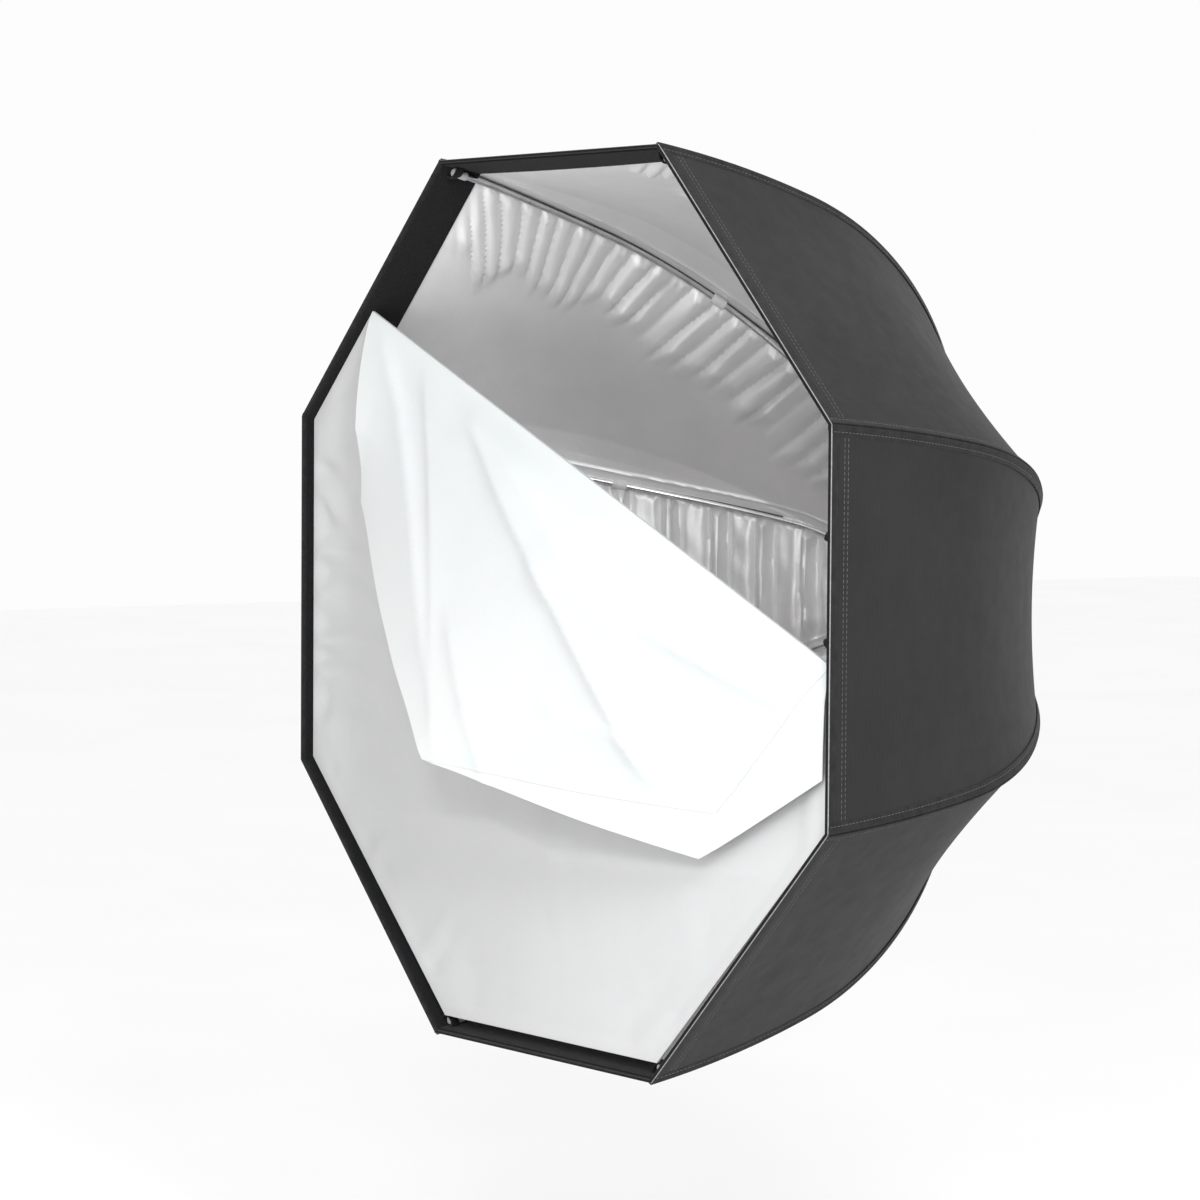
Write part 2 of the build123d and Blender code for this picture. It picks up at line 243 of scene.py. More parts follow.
def lining_relief(number, hand, s, x):
    """Height of the lining above the cover's inside, for rib number's left or right half."""
    half_width = rib_at(s)[..., 0] * math.sin(HALF)
    off_rib = x * half_width
    upper_seam = rod_seam(s) - 0.0095
    if hand == "left":
        gathered = number
        from_rod = off_rib - rod_seam(s)
        seam_gap = upper_seam - off_rib
    else:
        gathered = (number - 2) % RIBS + 1
        from_rod = (2 - x) * half_width - rod_seam(s)
        seam_gap = upper_seam + off_rib
    style = curtain if gathered == PLEATED_RIB else gathers
    high = style(s, np.maximum(from_rod, 0), gathered) * (from_rod > 0)
    if hand == "right":
        high = high * smooth(off_rib, 0.0, 0.030)
    high = high + 0.0012 * np.exp(-(seam_gap / 0.0013) ** 2)
    ends = smooth(s, BAND_WIDTH * 0.9, BAND_WIDTH * 1.6) * (1 - smooth(s / RIB_LENGTH, 0.94, 1.0))
    bridge_ends = smooth(s, 0.010, 0.040) * (1 - smooth(s / RIB_LENGTH, 0.90, 0.99))
    return np.maximum(high, 0) * ends + web(s, off_rib) * bridge_ends


# ---------------------------------------------------------------------------
# Mesh helpers
# ---------------------------------------------------------------------------
def piece(name, points, faces, materials, face_material=None, shade_smooth=True):
    """A mesh object in the scene, with sharp edges kept sharp."""
    mesh = bpy.data.meshes.new(name)
    mesh.from_pydata([tuple(p) for p in points], [], [tuple(f) for f in faces])
    for material in materials:
        mesh.materials.append(material)
    if face_material is not None:
        mesh.polygons.foreach_set("material_index", np.asarray(face_material, np.int32))
    mesh.polygons.foreach_set("use_smooth", [shade_smooth] * len(mesh.polygons))
    mesh.update()
    if shade_smooth:
        mesh.set_sharp_from_angle(angle=math.radians(50))
    obj = bpy.data.objects.new(name, mesh)
    bpy.context.scene.collection.objects.link(obj)
    return obj


def outward(obj):
    """Makes a closed mesh's faces point out."""
    bm = bmesh.new()
    bm.from_mesh(obj.data)
    bmesh.ops.recalc_face_normals(bm, faces=bm.faces)
    bm.to_mesh(obj.data)
    bm.free()
    return obj


class Build:
    """Collects closed shells into one mesh."""

    def __init__(self):
        self.points, self.faces, self.material = [], [], []

    def add(self, points, faces, material):
        base = len(self.points)
        self.points.extend(np.asarray(points).reshape(-1, 3))
        self.faces.extend([tuple(base + i for i in f) for f in faces])
        kinds = material if hasattr(material, "__len__") else [material] * len(faces)
        self.material.extend(kinds)

    def slab(self, top, bottom, top_material, bottom_material, edge_material):
        """Closed slab between two grids of points of the same shape."""
        rows, cols = top.shape[:2]
        size = rows * cols
        index = np.arange(size).reshape(rows, cols)
        a, b = index[:-1, :-1].ravel(), index[:-1, 1:].ravel()
        c, d = index[1:, 1:].ravel(), index[1:, :-1].ravel()
        upper = np.stack([a, b, c, d], 1)
        lower = np.stack([d, c, b, a], 1) + size
        border = [index[0, :-1], index[:-1, -1], index[-1, :0:-1], index[:0:-1, 0]]
        border = np.concatenate(border)
        following = np.roll(border, -1)
        rim = np.stack([following, border, border + size, following + size], 1)
        faces = np.concatenate([upper, lower, rim])
        kinds = [top_material] * len(upper) + [bottom_material] * len(lower)
        kinds += [edge_material] * len(rim)
        self.add(np.concatenate([top.reshape(-1, 3), bottom.reshape(-1, 3)]), faces, kinds)

    def tube(self, line, radius, material, sides=8, up=(0, 1, 0)):
        """Closed round tube along a line of points."""
        line = np.asarray(line, float)
        ahead = np.gradient(line, axis=0)
        ahead /= np.linalg.norm(ahead, axis=1)[:, None]
        one = np.cross(ahead, np.broadcast_to(np.asarray(up, float), line.shape))
        one /= np.linalg.norm(one, axis=1)[:, None]
        two = np.cross(ahead, one)
        turn = 2 * np.pi * np.arange(sides) / sides
        ring = np.cos(turn)[None, :, None] * one[:, None]
        ring = ring + np.sin(turn)[None, :, None] * two[:, None]
        radii = np.broadcast_to(np.asarray(radius, float), (len(line),))
        points = line[:, None] + ring * radii[:, None, None]
        index = np.arange(len(line) * sides).reshape(len(line), sides)
        nxt = np.roll(index, -1, axis=1)
        walls = np.stack([index[:-1], nxt[:-1], nxt[1:], index[1:]], -1).reshape(-1, 4)
        faces = [tuple(f) for f in walls] + [tuple(index[0][::-1]), tuple(index[-1])]
        self.add(points.reshape(-1, 3), faces, material)

    def finish(self, name, materials):
        return outward(piece(name, self.points, self.faces, materials, self.material))


# ---------------------------------------------------------------------------
# Materials
# ---------------------------------------------------------------------------
class Nodes:
    """A material with a Principled shader and a few helpers to wire it."""

    def __init__(self, name, colour, roughness, metallic=0.0):
        self.material = bpy.data.materials.new(name)
        self.material.use_nodes = True
        self.tree = self.material.node_tree
        self.shader = self.tree.nodes["Principled BSDF"]
        self.set("Base Color", (*colour, 1))
        self.set("Roughness", roughness)
        self.set("Metallic", metallic)
        self.where = self.new("ShaderNodeTexCoord").outputs["Object"]

    def new(self, kind, **settings):
        node = self.tree.nodes.new(kind)
        for key, value in settings.items():
            setattr(node, key, value)
        return node

    def set(self, socket, value):
        self.shader.inputs[socket].default_value = value

    def link(self, a, b):
        self.tree.links.new(a, b)

    def noise(self, scale, detail=4.0, roughness=0.5, stretch=None):
        node = self.new("ShaderNodeTexNoise")
        node.inputs["Scale"].default_value = scale
        node.inputs["Detail"].default_value = detail
        node.inputs["Roughness"].default_value = roughness
        source = self.where
        if stretch:
            mapping = self.new("ShaderNodeMapping")
            mapping.inputs["Scale"].default_value = stretch
            self.link(self.where, mapping.inputs["Vector"])
            source = mapping.outputs["Vector"]
        self.link(source, node.inputs["Vector"])
        return node.outputs["Fac"]

    def wave(self, scale, direction, distortion=0.0):
        node = self.new("ShaderNodeTexWave", wave_type="BANDS", bands_direction=direction)
        node.inputs["Scale"].default_value = scale
        node.inputs["Distortion"].default_value = distortion
        self.link(self.where, node.inputs["Vector"])
        return node.outputs["Fac"]

    def math(self, operation, *values):
        node = self.new("ShaderNodeMath", operation=operation)
        for socket, value in zip(node.inputs, values):
            if isinstance(value, (int, float)):
                socket.default_value = value
            else:
                self.link(value, socket)
        return node.outputs["Value"]

    def spread(self, fac, low, high):
        """Maps a 0 to 1 value to low to high."""
        node = self.new("ShaderNodeMapRange")
        node.inputs["To Min"].default_value = low
        node.inputs["To Max"].default_value = high
        self.link(fac, node.inputs["Value"])
        return node.outputs["Result"]

    def colours(self, fac, dark, light):
        """Base colour from dark to light as fac rises."""
        ramp = self.new("ShaderNodeValToRGB")
        ramp.color_ramp.elements[0].color = (*dark, 1)
        ramp.color_ramp.elements[0].position = 0.3
        ramp.color_ramp.elements[1].color = (*light, 1)
        ramp.color_ramp.elements[1].position = 0.7
        self.link(fac, ramp.inputs["Fac"])
        self.link(ramp.outputs["Color"], self.shader.inputs["Base Color"])

    def rough(self, fac, low, high):
        self.link(self.spread(fac, low, high), self.shader.inputs["Roughness"])

    def bump(self, height, depth, strength=1.0):
        """Adds a bump on top of what is already there. depth is the height of 1, in metres."""
        node = self.new("ShaderNodeBump")
        node.inputs["Strength"].default_value = strength
        node.inputs["Distance"].default_value = depth
        self.link(height, node.inputs["Height"])
        before = self.shader.inputs["Normal"].links
        if before:
            self.link(before[0].from_socket, node.inputs["Normal"])
        self.link(node.outputs["Normal"], self.shader.inputs["Normal"])

    def weave(self, pitch, depth):
        """Crossed threads, the same size whichever way the cloth faces."""
        turns = 2 * math.pi / pitch / 20
        first = self.wave(turns, "X")
        second = self.wave(turns, "Y")
        third = self.wave(turns, "Z")
        self.bump(self.math("ADD", self.math("MULTIPLY", first, second), third), depth, 0.5)


def black_cover():
    m = Nodes("black_nylon", (0.016, 0.016, 0.017), 0.75)
    m.colours(m.noise(9, 5, 0.6), (0.013, 0.013, 0.014), (0.019, 0.019, 0.020))
    m.rough(m.noise(60, 3), 0.58, 0.78)
    m.set("Sheen Weight", 0.03)
    m.set("Sheen Roughness", 0.5)
    m.set("Specular IOR Level", 0.20)
    m.bump(m.noise(28, 4, 0.55), 0.0012, 0.25)
    m.weave(0.0009, 0.00012)
    return m.material


def silver_cloth():
    m = Nodes("silver_lining", (0.86, 0.86, 0.865), 0.45, 0.4)
    m.colours(m.noise(14, 5, 0.6), (0.83, 0.83, 0.835), (0.90, 0.90, 0.905))
    m.rough(m.noise(45, 4), 0.38, 0.54)
    m.bump(m.noise(35, 6, 0.6), 0.0016, 0.35)
    m.bump(m.noise(220, 3, 0.5), 0.0003, 0.3)
    m.weave(0.0007, 0.00006)
    return m.material


def loop_band():
    m = Nodes("black_loop_band", (0.008, 0.008, 0.009), 0.95)
    m.colours(m.noise(900, 2), (0.005, 0.005, 0.006), (0.014, 0.014, 0.015))
    m.set("Sheen Weight", 0.05)
    m.set("Specular IOR Level", 0.10)
    m.bump(m.noise(1400, 3, 0.7), 0.0006, 0.8)
    m.bump(m.noise(60, 3), 0.0010, 0.3)
    return m.material


def black_webbing():
    m = Nodes("black_webbing", (0.014, 0.014, 0.015), 0.85)
    m.colours(m.noise(120, 3), (0.010, 0.010, 0.011), (0.020, 0.020, 0.021))
    m.set("Sheen Weight", 0.05)
    m.set("Specular IOR Level", 0.2)
    m.weave(0.0016, 0.0003)
    return m.material


def grey_thread():
    m = Nodes("grey_thread", (0.09, 0.09, 0.09), 0.7)
    m.colours(m.noise(600, 2), (0.06, 0.06, 0.06), (0.12, 0.12, 0.12))
    m.bump(m.noise(2500, 2), 0.0001, 0.5)
    return m.material


def pale_piping():
    m = Nodes("pale_piping", (0.24, 0.24, 0.245), 0.6)
    m.colours(m.noise(300, 2), (0.19, 0.19, 0.195), (0.30, 0.30, 0.305))
    m.bump(m.noise(1800, 2), 0.00015, 0.5)
    return m.material


def white_cloth_painted_fade(name, low, high):
    """White diffusion cloth, its base colour painted darker towards the left: painted shade where
    less light comes through.
    """
    m = Nodes(name, high, 0.8)
    parts = m.new("ShaderNodeSeparateXYZ")
    m.link(m.where, parts.inputs["Vector"])
    # Painted shade: the base colour grows lighter with X and darker towards the left.
    across = m.math("MULTIPLY_ADD", parts.outputs["X"], 0.9, 0.5)
    m.colours(m.math("ADD", across, m.spread(m.noise(5, 4, 0.5), -0.12, 0.12)), low, high)
    m.rough(m.noise(70, 3), 0.70, 0.88)
    m.set("Sheen Weight", 0.15)
    m.set("Subsurface Weight", 0.10)
    m.set("Subsurface Scale", 0.01)
    m.bump(m.noise(20, 5, 0.55), 0.0016, 0.30)
    m.weave(0.0006, 0.00008)
    return m.material


def metal(name, colour, low, high, brushed=None):
    m = Nodes(name, colour, low, 1.0)
    darker = tuple(c * 0.82 for c in colour)
    m.colours(m.noise(60, 4), darker, colour)
    m.rough(m.noise(90, 5, 0.6, brushed), low, high)
    m.bump(m.noise(700, 3, 0.6, brushed), 0.00004, 0.5)
    return m.material


def plastic(name, colour, low, high):
    m = Nodes(name, colour, low)
    darker = tuple(c * 0.75 for c in colour)
    m.colours(m.noise(45, 4), darker, colour)
    m.rough(m.noise(120, 4), low, high)
    m.bump(m.noise(1600, 2), 0.00008, 0.5)
    m.bump(m.noise(150, 2), 0.00012, 0.2)
    return m.material


BLACK = black_cover()
SILVER = silver_cloth()
LOOP = loop_band()
WEBBING = black_webbing()
THREAD = grey_thread()
PIPING = pale_piping()
# The lower sheet's base colour is darker than the flap's, though both are the same cloth: partly a
# single layer's lower reflectance, partly painted shade from the dark inside behind it.
SHEET_CLOTH = white_cloth_painted_fade("white_diffuser", (0.45, 0.45, 0.452), (0.55, 0.55, 0.552))
FLAP_CLOTH = white_cloth_painted_fade("white_diffuser_flap", (0.585, 0.585, 0.587), (0.64, 0.64, 0.64))
STEEL = metal("bright_steel", (0.82, 0.82, 0.83), 0.22, 0.36, (1, 1, 1))
INSERT_STEEL = metal("turned_steel", (0.56, 0.56, 0.57), 0.22, 0.38, (0.3, 8, 0.3))
ANODISED = metal("black_anodised", (0.045, 0.045, 0.048), 0.32, 0.48)
FASTENER = metal("zinc_steel", (0.50, 0.50, 0.51), 0.28, 0.45)
BLACK_PLASTIC = plastic("black_plastic", (0.030, 0.030, 0.032), 0.42, 0.60)
KNOB_PLASTIC = plastic("knob_plastic", (0.018, 0.018, 0.020), 0.35, 0.5)
TIP_PLASTIC = plastic("grey_plastic", (0.46, 0.46, 0.46), 0.35, 0.5)
WHITE_PLASTIC = plastic("white_plastic", (0.80, 0.80, 0.79), 0.35, 0.5)


def ride_half(obj):
    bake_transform(obj)


def half_of(number, hand):
    """Middle angle of the gore and which side of it this half lies on."""
    if hand == "left":
        return rib_angle(number) + HALF, -1
    return rib_angle(number) - HALF, 1


def cover_half(number, hand):
    middle, side = half_of(number, hand)
    s = np.linspace(0, RIB_LENGTH, ALONG + 1)[:, None]
    x = np.linspace(0, 1, ACROSS + 1)[None, :]
    s, x = np.broadcast_arrays(s, x)
    pull = sag(s, x)
    outer = gore_point(middle, side, s, x, pull)
    relief = lining_relief(number, hand, s, x)
    inner = gore_point(middle, side, s, x, pull + CLOTH + relief)
    build = Build()
    build.slab(outer, inner, 0, 1, 0)
    obj = build.finish(f"cover_{number}_{hand}_cloth", [BLACK, SILVER])
    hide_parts(f"cover_{number}_{hand}")
    ride_half(obj)
    return obj


def stitches(build, a_of, count, length, radius, material, up):
    """Row of short threads: a_of(share) gives the point at a share of the way along the row."""
    for k in range(count):
        mid = (k + 0.5) / count
        half = 0.5 * length / count
        row = np.array([a_of(mid - half), a_of(mid), a_of(mid + half)])
        build.tube(row, [radius * 0.5, radius, radius * 0.5], material, sides=5, up=up)


def rim_half(number, hand):
    """Rim trim of one half: loop band inside, webbing round the edge, piping and stitches."""
    middle, side = half_of(number, hand)
    build = Build()
    x = np.linspace(0, 1, 21)[None, :]

    def on_cloth(s, x, inward):
        s, x = np.asarray(s, float), np.asarray(x, float)
        return gore_point(middle, side, s, x, inward + sag(s, x))

    s = np.linspace(0.0035, BAND_WIDTH, 10)[:, None]
    lift = 0.0003 * np.sin(np.linspace(0, math.pi, 10))[:, None]
    build.slab(
        on_cloth(s, x, CLOTH + 0.0018 + lift), on_cloth(s, x, CLOTH - 0.0004 + 0 * s), 0, 0, 0
    )
    s = np.array([0.0, 0.0045, 0.0095])[:, None]
    outside = np.array([-0.0002, -0.0004, -0.0003])[:, None]
    inside = np.array([0.0022, 0.0018, 0.0012])[:, None]
    build.slab(on_cloth(s, x, outside), on_cloth(s, x, inside), 1, 1, 1)
    edge = on_cloth(0.0010 + 0 * x[0], x[0], -0.0001 + 0 * x[0])
    build.tube(edge, 0.0006, 2, sides=8)
    if hand == "left":
        # Thread that holds the lining along the rod, drawn dark and thick: partly the real seam
        # thread, partly painted shade for the thin shadow line beside the rod
        s = np.linspace(0.030, ROD_FRONT + ROD_REACH - 0.020, 150)
        share = rod_seam(s) / (rib_at(s)[:, 0] * math.sin(HALF))
        seam = on_cloth(s, share, CLOTH + 0.0010 + 0 * s)
        build.tube(seam, 0.0009, 3, sides=6, up=out_of(rib_angle(number)))
    width = RIM_R * math.sin(HALF)
    for distance in (HEM_LINE, HEM_LINE + 0.0042):
        stitches(
            build,
            lambda share: on_cloth(distance, share, 0.0000),
            int(width / STITCH_PITCH),
            0.68,
            0.00032,
            3,
            (0, 1, 0),
        )
    obj = build.finish(f"rim_trim_{number}_{hand}", [LOOP, WEBBING, PIPING, THREAD])
    ride_half(obj)
    return obj


for number in range(1, RIBS + 1):
    for hand in ("left", "right"):
        cover_half(number, hand)
        rim_half(number, hand)


# ---------------------------------------------------------------------------
# Rib seams on the outside, with the rod's pocket at the rim
# ---------------------------------------------------------------------------
# (off the rib, height above the cover) across one side of the bound seam
SEAM_PROFILE = [
    (0.0085, 0.0001),
    (0.0070, 0.0006),
    (0.0042, 0.0008),
    (0.0024, 0.0022),
    (0.0009, 0.0020),
]


def rib_seam(number):
    build = Build()
    s = np.linspace(0.001, RIB_LENGTH - 0.001, 180)
    left_middle = rib_angle(number) + HALF
    right_middle = rib_angle(number) - HALF
    width = rib_at(s)[:, 0] * math.sin(HALF)

    def column(middle, side, off, high):
        return gore_point(middle, side, s, off / width, -high + 0 * s)

    def centre(high):
        rib = rib_at(s)
        out = rib[:, 0] + high * np.cos(rib[:, 2])
        y = RIM_Y + rib[:, 1] + high * np.sin(rib[:, 2])
        return out[:, None] * out_of(rib_angle(number)) + y[:, None] * AXIS

    top = [column(left_middle, -1, off, high) for off, high in SEAM_PROFILE]
    top.append(centre(0.0004))
    top += [column(right_middle, 1, off, high) for off, high in reversed(SEAM_PROFILE)]
    bottom = [column(left_middle, -1, off, -0.0004) for off, _ in SEAM_PROFILE]
    bottom.append(centre(-0.0006))
    bottom += [column(right_middle, 1, off, -0.0004) for off, _ in reversed(SEAM_PROFILE)]
    build.slab(np.stack(top, 1), np.stack(bottom, 1), 0, 0, 0)
    for middle, side in ((left_middle, -1), (right_middle, 1)):

        def row(share):
            place = share * (RIB_LENGTH - 0.004) + 0.002
            wide = float(rib_at(place)[0]) * math.sin(HALF)
            return gore_point(middle, side, place, 0.0056 / wide, -0.0008)

        stitches(build, row, int(RIB_LENGTH / STITCH_PITCH), 0.70, 0.00034, 1, (0.3, 1, 0.2))
    pocket(build, number)
    obj = build.finish(f"rib_seam_{number}", [WEBBING, THREAD, LOOP])
    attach(obj, f"rod_{number}")
    return obj


def pocket(build, number):
    """Fabric pocket that takes the rod's tip inside the rim corner."""
    angle = rib_angle(number)
    s = np.linspace(0.0115, 0.0195, 6)
    rib = rib_at(s)
    turn = np.linspace(-0.5 * math.pi, 0.5 * math.pi, 13)
    rows_out, rows_in = [], []
    for bulge, rows in ((0.0072, rows_out), (0.0062, rows_in)):
        for a in turn:
            wide = bulge * 1.25 * math.sin(a)
            deep = 0.0062 + bulge * math.cos(a) * (1 - 0.2 * smooth(s, 0.014, 0.0195))
            out = rib[:, 0] - deep * np.cos(rib[:, 2])
            y = RIM_Y + rib[:, 1] - deep * np.sin(rib[:, 2])
            rows.append(out[:, None] * out_of(angle) + y[:, None] * AXIS + wide * side_of(angle))
    build.slab(np.stack(rows_out, 1), np.stack(rows_in, 1), 2, 2, 2)


for number in range(1, RIBS + 1):
    rib_seam(number)


# ---------------------------------------------------------------------------
# Back band round the speed ring
# ---------------------------------------------------------------------------
def back_band():
    low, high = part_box("back_band")
    outer_r = high.x
    inner_r = 0.0983
    front, rear = low.y, high.y
    count = 192
    turn = 2 * np.pi * np.arange(count) / count
    ripple = 0.0004 * np.sin(48 * turn) + 0.0003 * np.sin(31 * turn + 1)
    # (radius, y, share of the ripple), round the band's section
    section = [
        (inner_r, rear, 0.0),
        (inner_r, front + 0.0004, 0.0),
        (outer_r - 0.006, front, 0.3),
        (outer_r, front - 0.0006, 1.0),
        (outer_r + 0.0003, front + 0.0006, 1.0),
        (outer_r - 0.004, front + 0.0016, 1.0),
        (inner_r + 0.006, front + 0.0020, 0.6),
        (inner_r + 0.0022, front + 0.0034, 0.3),
        (inner_r + 0.0019, rear - 0.0008, 0.2),
        (inner_r + 0.0012, rear, 0.0),
    ]
    rings = []
    for r, y, share in section:
        ring = np.stack([r * np.cos(turn), y + share * ripple, r * np.sin(turn)], 1)
        rings.append(ring)
    points = np.concatenate(rings)
    faces = []
    for k in range(len(section)):
        base, after = k * count, (k + 1) % len(section) * count
        for i in range(count):
            j = (i + 1) % count
            faces.append((base + i, base + j, after + j, after + i))
    obj = outward(piece("back_band_cloth", points, faces, [WEBBING]))
    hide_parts("back_band")
    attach(obj, "speed_ring")


back_band()


# ---------------------------------------------------------------------------
# Diffuser: the lower sheet and the folded flap
# ---------------------------------------------------------------------------
FOLD_ALONG = out_of(FOLD_ANGLE)
FOLD_UP = side_of(FOLD_ANGLE)
SHEET_R = RIM_R - SHEET_INSET / math.cos(HALF)
CORNERS = [out_of(rib_angle(k)) * SHEET_R for k in range(1, RIBS + 1)]
for corner in CORNERS[5:7]:
    corner[2] += BOTTOM_INSET


def fold_frame(point):
    """Rim-plane point as (along the fold, above the fold)."""
    offset = point - FOLD_UP * FOLD_OFFSET
    return float(offset @ FOLD_ALONG), float(offset @ FOLD_UP)


def cut_grid(outline, pitch):
    """Flat mesh grid cut to a convex outline, anticlockwise, of (along, above the fold) points."""
    outline = np.asarray(outline)
    low, high = outline.min(0) - pitch, outline.max(0) + pitch
    counts = np.ceil((high - low) / pitch).astype(int)
    bm = bmesh.new()
    bmesh.ops.create_grid(bm, x_segments=int(counts[0]), y_segments=int(counts[1]), size=0.5)
    span = high - low
    for v in bm.verts:
        v.co = Vector((low[0] + (v.co.x + 0.5) * span[0], low[1] + (v.co.y + 0.5) * span[1], 0))
    for k in range(len(outline)):
        p, q = outline[k], outline[(k + 1) % len(outline)]
        outside = Vector((q[1] - p[1], p[0] - q[0], 0)).normalized()
        geometry = bm.verts[:] + bm.edges[:] + bm.faces[:]
        bmesh.ops.bisect_plane(
            bm, geom=geometry, plane_co=(*p, 0), plane_no=outside, clear_outer=True
        )
    bmesh.ops.remove_doubles(bm, verts=bm.verts, dist=pitch * 0.08)
    bm.verts.ensure_lookup_table()
    points = np.array([v.co for v in bm.verts])[:, :2]
    faces = [[v.index for v in f.verts] for f in bm.faces]
    bm.free()
    return points, faces


def edge_distance(points, outline):
    """Distance of each point from the outline's nearest side."""
    least = np.full(len(points), 1e9)
    for k in range(len(outline)):
        p, q = np.asarray(outline[k]), np.asarray(outline[(k + 1) % len(outline)])
        along = (q - p) / np.linalg.norm(q - p)
        gap = (points - p) @ np.array([-along[1], along[0]])
        least = np.minimum(least, np.abs(gap))
    return least


def cloth_slab(name, front, back, faces, materials):
    """Closed sheet from matching front and back points."""
    size = len(front)
    edges = {}
    for f in faces:
        for i, j in zip(f, f[1:] + f[:1]):
            edges[(i, j)] = edges.get((i, j), 0) + 1
    border = [(i, j) for i, j in edges if (j, i) not in edges]
    all_faces = [tuple(f) for f in faces]
    all_faces += [tuple(size + i for i in reversed(f)) for f in faces]
    all_faces += [(j, i, size + i, size + j) for i, j in border]
    return outward(piece(name, np.concatenate([front, back]), all_faces, materials))


def clip_below(corners):
    """The octagon's part below the fold line, anticlockwise, as fold-frame points."""
    points = [fold_frame(c) for c in corners]
    kept = []
    for k, (a, b) in enumerate(points):
        a2, b2 = points[(k + 1) % len(points)]
        if b <= 0:
            kept.append((a, b))
        if (b <= 0) != (b2 <= 0):
            t = b / (b - b2)
            kept.append((a + t * (a2 - a), 0.0))
    return kept


LOWER = clip_below(CORNERS)
UPPER_FOLDED = [(a, b) for a, b in (fold_frame(c) for c in CORNERS) if b > 0]
FOLD_ENDS = sorted(p for p in LOWER if abs(p[1]) < 1e-9)


def on_sheet(a, down, forward):
    """Points at (a, down) from the fold, that far in front of the sheet."""
    base = FOLD_UP * FOLD_OFFSET + a[:, None] * FOLD_ALONG - down[:, None] * FOLD_UP
    return base + (SHEET_Y - forward)[:, None] * AXIS


def off_line(a, down, start, end):
    """Signed distance from the line start to end, and the share of the way along it."""
    along = np.array(end) - np.array(start)
    length = np.linalg.norm(along)
    along = along / length
    da, dd = a - start[0], down - start[1]
    return da * along[1] - dd * along[0], (da * along[0] + dd * along[1]) / length


def bend(a, down, start, end, high, width, side=1):
    """A crease: falls off gently on one side of a line and steeply on the other."""
    gap, share = off_line(a, down, start, end)
    gap = gap * side
    profile = np.where(gap > 0, np.exp(-gap / width), np.exp(gap / (width * 0.22)))
    return high * profile * smooth(share, -0.12, 0.15) * (1 - smooth(share, 0.85, 1.12))


def edge_puckers(a, down, side, high, waves, reach, seed):
    """Small gathers along one side of the sheet, fading over reach."""
    gap, share = off_line(a, down, *side)
    wander = 3 * wave_noise(share * 5, gap * 20, seed)
    return high * np.sin(share * waves + wander) * np.exp(-np.abs(gap) / reach)


# Sides of the lower sheet that are gathered, as (along the fold, below it)
LEFT_SIDE = ((-0.392, 0.125), (-0.273, 0.400))
LOW_SIDE = ((-0.273, 0.400), (0.006, 0.510))
# (start, end, height, width, steep side), start and end as (along the fold, below it)
SHEET_CREASES = [
    ((-0.235, 0.430), (-0.013, 0.326), 0.0055, 0.050, 1),
    ((-0.030, 0.332), (0.090, 0.302), 0.0055, 0.050, 1),
    ((0.070, 0.308), (0.370, 0.170), 0.0050, 0.045, 1),
    ((-0.345, 0.270), (-0.225, 0.395), 0.0040, 0.016, -1),
    ((-0.300, 0.330), (-0.205, 0.415), 0.0036, 0.012, -1),
    ((-0.245, 0.395), (-0.130, 0.440), 0.0036, 0.016, 1),
]
FLAP_CREASES = [
    ((-0.165, 0.010), (0.030, 0.088), 0.0085, 0.050, 1),
    ((0.010, 0.080), (0.210, 0.170), 0.0095, 0.050, 1),
    ((-0.100, 0.012), (0.170, 0.098), 0.0070, 0.045, -1),
    ((-0.310, 0.012), (-0.050, 0.220), 0.0080, 0.034, -1),
    ((-0.235, 0.020), (-0.010, 0.255), 0.0055, 0.030, 1),
    ((0.110, 0.072), (0.330, 0.048), 0.0060, 0.034, 1),
    ((0.070, 0.172), (0.265, 0.135), 0.0050, 0.030, -1),
    ((-0.070, 0.165), (0.060, 0.258), 0.0042, 0.026, 1),
]


def lower_sheet():
    points, faces = cut_grid(LOWER, CLOTH_GRID)
    edge = edge_distance(points, LOWER)
    free = smooth(edge, 0.0, 0.05)
    a, b = points[:, 0], points[:, 1]
    belly = 0.0050 * smooth(edge, 0.0, 0.16)
    slack = 0.0030 * (0.5 + 0.5 * wave_noise(a * 6, b * 9, 21))
    pulls = 0.0020 * (0.5 + 0.5 * wave_noise((a + b) * 26, (a - b) * 5, 22))
    creases = sum(bend(a, -b, *crease) for crease in SHEET_CREASES)
    puckers = 0.003 + edge_puckers(a, -b, LEFT_SIDE, 0.0060, 46, 0.034, 24)
    puckers += edge_puckers(a, -b, LOW_SIDE, 0.0032, 40, 0.026, 25)
    depth = (belly + slack + pulls - creases * 0.9 + 0.0035) * free
    depth += puckers * smooth(edge, 0.002, 0.014)
    corner = np.min([np.hypot(a - p, b - q) for p, q in LOWER], axis=0)
    depth = np.maximum(depth, 0) * smooth(corner, 0.015, 0.050)
    hem = 0.0005 * (1 - smooth(edge, 0.010, 0.0125))
    front = on_sheet(a, -b, 0.0005 + hem - depth)
    back = on_sheet(a, -b, -0.0005 - hem - depth)
    obj = cloth_slab("diffuser_sheet", front, back, faces, [SHEET_CLOTH])
    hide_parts("diffuser")
    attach(obj, "diffuser")
    return obj


FLAP_LEFT, FLAP_LOW, FLAP_RIGHT = sorted((a, -b) for a, b in UPPER_FOLDED)


